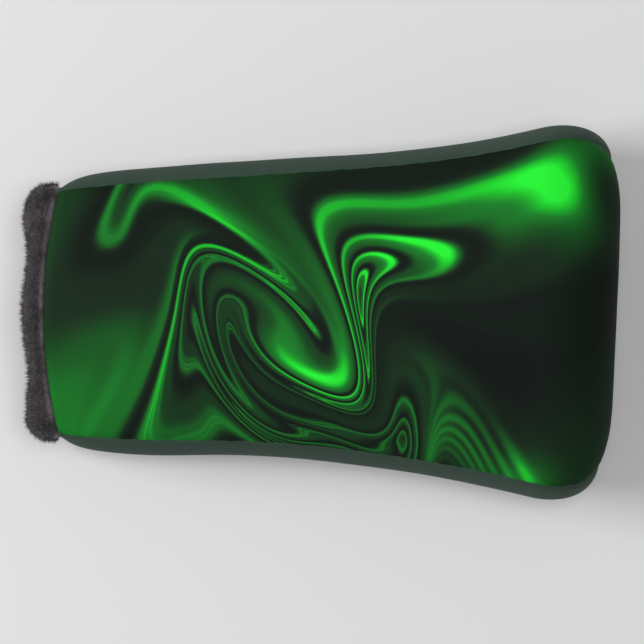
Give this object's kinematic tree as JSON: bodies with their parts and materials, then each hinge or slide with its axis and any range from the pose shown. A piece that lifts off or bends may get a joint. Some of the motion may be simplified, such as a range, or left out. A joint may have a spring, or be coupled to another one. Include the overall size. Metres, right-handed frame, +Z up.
{
  "type": "putter head cover",
  "caption": "Padded sewn sleeve that slips over a putter's head, with a printed wrap panel, plain side gussets and a plush-trimmed mouth.",
  "frame": {"origin": "on the table, under the middle of the cover's outline", "axes": "+X from the mouth to the closed end, +Y across the cover, +Z up out of the front panel"},
  "size_m": [0.1902, 0.1182, 0.0518],
  "materials": {
    "printed_polyester": "smooth satin polyester with a dye-sublimated print",
    "gusset_polyester": "plain dark green satin polyester",
    "plush_trim": "charcoal plush pile",
    "lining_plush": "short charcoal plush pile",
    "foam": "soft open-cell foam sheet",
    "elastic": "woven black elastic",
    "thread": "bonded polyester sewing thread"
  },
  "bodies": {
    "root": {"printed_wrap_panel": "printed_polyester", "left_gusset": "gusset_polyester", "right_gusset": "gusset_polyester", "plush_mouth_trim": "plush_trim", "wrap_lining": "lining_plush", "left_gusset_lining": "lining_plush", "right_gusset_lining": "lining_plush", "wrap_foam": "foam", "left_gusset_foam": "foam", "right_gusset_foam": "foam", "mouth_elastic": "elastic", "left_seam_thread": "thread", "right_seam_thread": "thread", "left_lining_thread": "thread", "right_lining_thread": "thread", "mouth_seam_thread": "thread"}
  },
  "joints": []
}
